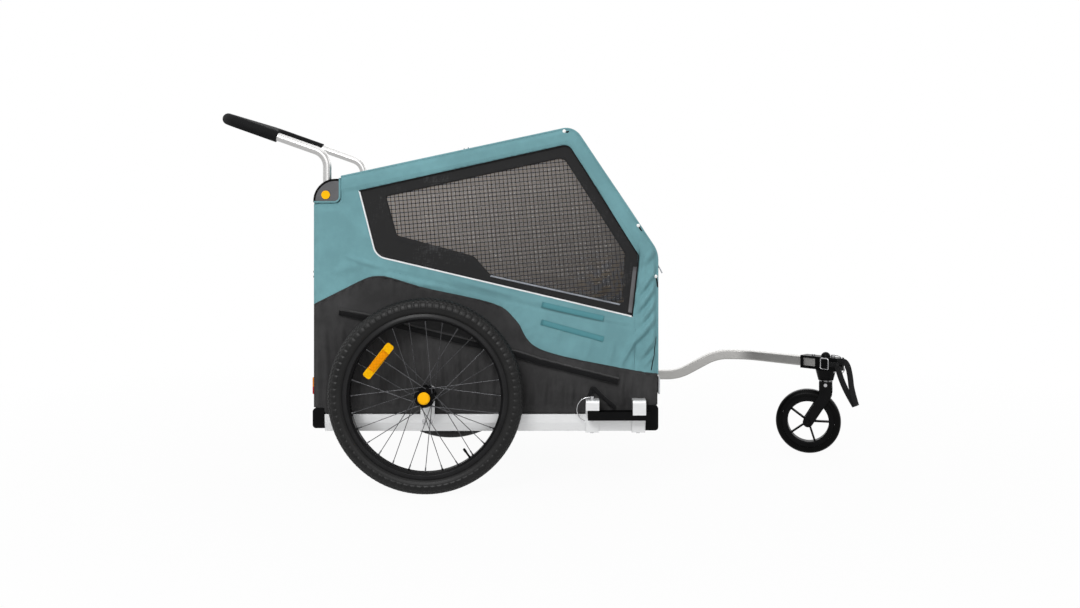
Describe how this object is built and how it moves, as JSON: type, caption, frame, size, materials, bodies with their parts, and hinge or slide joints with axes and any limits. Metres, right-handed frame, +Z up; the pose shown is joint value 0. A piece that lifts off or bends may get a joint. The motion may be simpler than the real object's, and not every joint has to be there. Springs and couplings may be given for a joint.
{
  "type": "dog bike trailer",
  "caption": "Two-wheeled dog trailer with a cloth cabin, net side windows, a push handle and a swivelling front wheel on its tow arm.",
  "frame": {"origin": "on the ground under the middle of the trailer's bounding box, without the loose strap", "axes": "+X forward towards the hitch, +Y to the left, +Z up"},
  "size_m": [1.7527, 0.8186, 0.981],
  "materials": {
    "rail_aluminium": "brushed, bright",
    "tube_aluminium": "satin",
    "arm_aluminium": "brushed",
    "black_plastic": "matt moulded",
    "grey_plastic": "satin",
    "yellow_plastic": "satin",
    "amber_lens": "clear prismatic",
    "red_lens": "clear prismatic",
    "clear_lens": "clear prismatic",
    "cloth_teal": "plain weave",
    "cloth_black": "plain weave",
    "net": "open net",
    "webbing": "woven tape",
    "floor_board": "grained",
    "black_metal": "satin black",
    "steel": "plated",
    "tyre_rubber": "matt",
    "foam": "closed foam"
  },
  "bodies": {
    "frame": {"rear_corner_caps": "black_plastic", "front_corner_caps": "black_plastic", "axle_plates": "black_metal", "wheel_axles": "steel", "rear_uprights": "tube_aluminium", "handle_hubs": "black_plastic", "hub_covers": "grey_plastic", "handle_pivots": "steel", "rear_reflectors": "red_lens", "front_reflectors": "clear_lens", "tow_receivers": "black_plastic", "tether_straps": "webbing", "cross_tubes": "tube_aluminium", "floor_panel": "floor_board", "roof_crossbars": "tube_aluminium", "roof_panel": "cloth_teal", "rear_panel": "cloth_teal", "end_skirts": "cloth_black", "tow_arm": "arm_aluminium", "hitch_head": "black_plastic", "hitch_buckle": "steel", "safety_strap": "webbing", "frame_bolts": "steel", "side_rail_right": "rail_aluminium", "side_rail_left": "rail_aluminium", "cage_hoop_right": "tube_aluminium", "cage_hoop_left": "tube_aluminium", "side_panel_right": "cloth_teal", "side_panel_left": "cloth_teal", "window_right": "net", "window_left": "net", "side_skirt_right": "cloth_black", "side_skirt_left": "cloth_black", "tow_clamps_right": "rail_aluminium", "tow_clamps_left": "rail_aluminium"},
    "wheel_right": {"tyre_right": "tyre_rubber", "rim_right": "black_metal", "spokes_right": "black_metal", "hub_right": "black_metal", "spoke_reflector_right": "amber_lens"},
    "wheel_release_right": {"wheel_button_right": "yellow_plastic"},
    "handle_release_right": {"handle_button_right": "yellow_plastic"},
    "arm_lock_right": {"lock_pin_right": "steel"},
    "wheel_left": {"tyre_left": "tyre_rubber", "rim_left": "black_metal", "spokes_left": "black_metal", "hub_left": "black_metal", "spoke_reflector_left": "amber_lens"},
    "wheel_release_left": {"wheel_button_left": "yellow_plastic"},
    "handle_release_left": {"handle_button_left": "yellow_plastic"},
    "arm_lock_left": {"lock_pin_left": "steel"},
    "handle": {"handlebar_tube": "rail_aluminium", "handle_grip": "foam"},
    "door": {"front_door": "cloth_black"},
    "hitch_lock": {"hitch_pin": "steel"},
    "swivel_fork": {"caster_fork": "black_metal", "caster_stem": "steel", "caster_bolts": "steel"},
    "swivel_wheel": {"caster_tyre": "tyre_rubber", "caster_wheel": "black_plastic"}
  },
  "joints": [
    {"name": "wheel_spin_right", "type": "hinge", "parent": "frame", "child": "wheel_right", "pos_m": [-0.3184, -0.365, 0.25], "axis": [0, 1, 0], "continuous": true},
    {"name": "wheel_release_press_right", "type": "slide", "parent": "frame", "child": "wheel_release_right", "axis": [0, 1, 0], "range_m": [0, 0.004], "stiffness_N_per_m": 500},
    {"name": "handle_release_press_right", "type": "slide", "parent": "frame", "child": "handle_release_right", "axis": [0, 1, 0], "range_m": [0, 0.003], "stiffness_N_per_m": 500},
    {"name": "arm_lock_lift_right", "type": "slide", "parent": "frame", "child": "arm_lock_right", "axis": [0, 0, 1], "range_m": [0, 0.05]},
    {"name": "wheel_spin_left", "type": "hinge", "parent": "frame", "child": "wheel_left", "pos_m": [-0.3184, 0.365, 0.25], "axis": [0, 1, 0], "continuous": true},
    {"name": "wheel_release_press_left", "type": "slide", "parent": "frame", "child": "wheel_release_left", "axis": [0, -1, 0], "range_m": [0, 0.004], "stiffness_N_per_m": 500},
    {"name": "handle_release_press_left", "type": "slide", "parent": "frame", "child": "handle_release_left", "axis": [0, -1, 0], "range_m": [0, 0.003], "stiffness_N_per_m": 500},
    {"name": "arm_lock_lift_left", "type": "slide", "parent": "frame", "child": "arm_lock_left", "axis": [0, 0, 1], "range_m": [0, 0.05]},
    {"name": "handle_fold", "type": "hinge", "parent": "frame", "child": "handle", "pos_m": [-0.5834, 0, 0.764], "axis": [0, -1, 0], "range_deg": [0, 95]},
    {"name": "front_door_lift", "type": "hinge", "parent": "frame", "child": "door", "pos_m": [0.0873, 0, 0.9011], "axis": [0, -1, 0], "range_deg": [0, 110]},
    {"name": "hitch_lock_lift", "type": "slide", "parent": "frame", "child": "hitch_lock", "axis": [0, 0, 1], "range_m": [0, 0.05]},
    {"name": "swivel_turn", "type": "hinge", "parent": "frame", "child": "swivel_fork", "pos_m": [0.8196, 0.125, 0.2], "axis": [0, 0, 1], "continuous": true},
    {"name": "swivel_wheel_spin", "type": "hinge", "parent": "swivel_fork", "child": "swivel_wheel", "pos_m": [0.77034, 0.1382, 0.095], "axis": [0.2588, 0.9659, 0], "continuous": true}
  ]
}
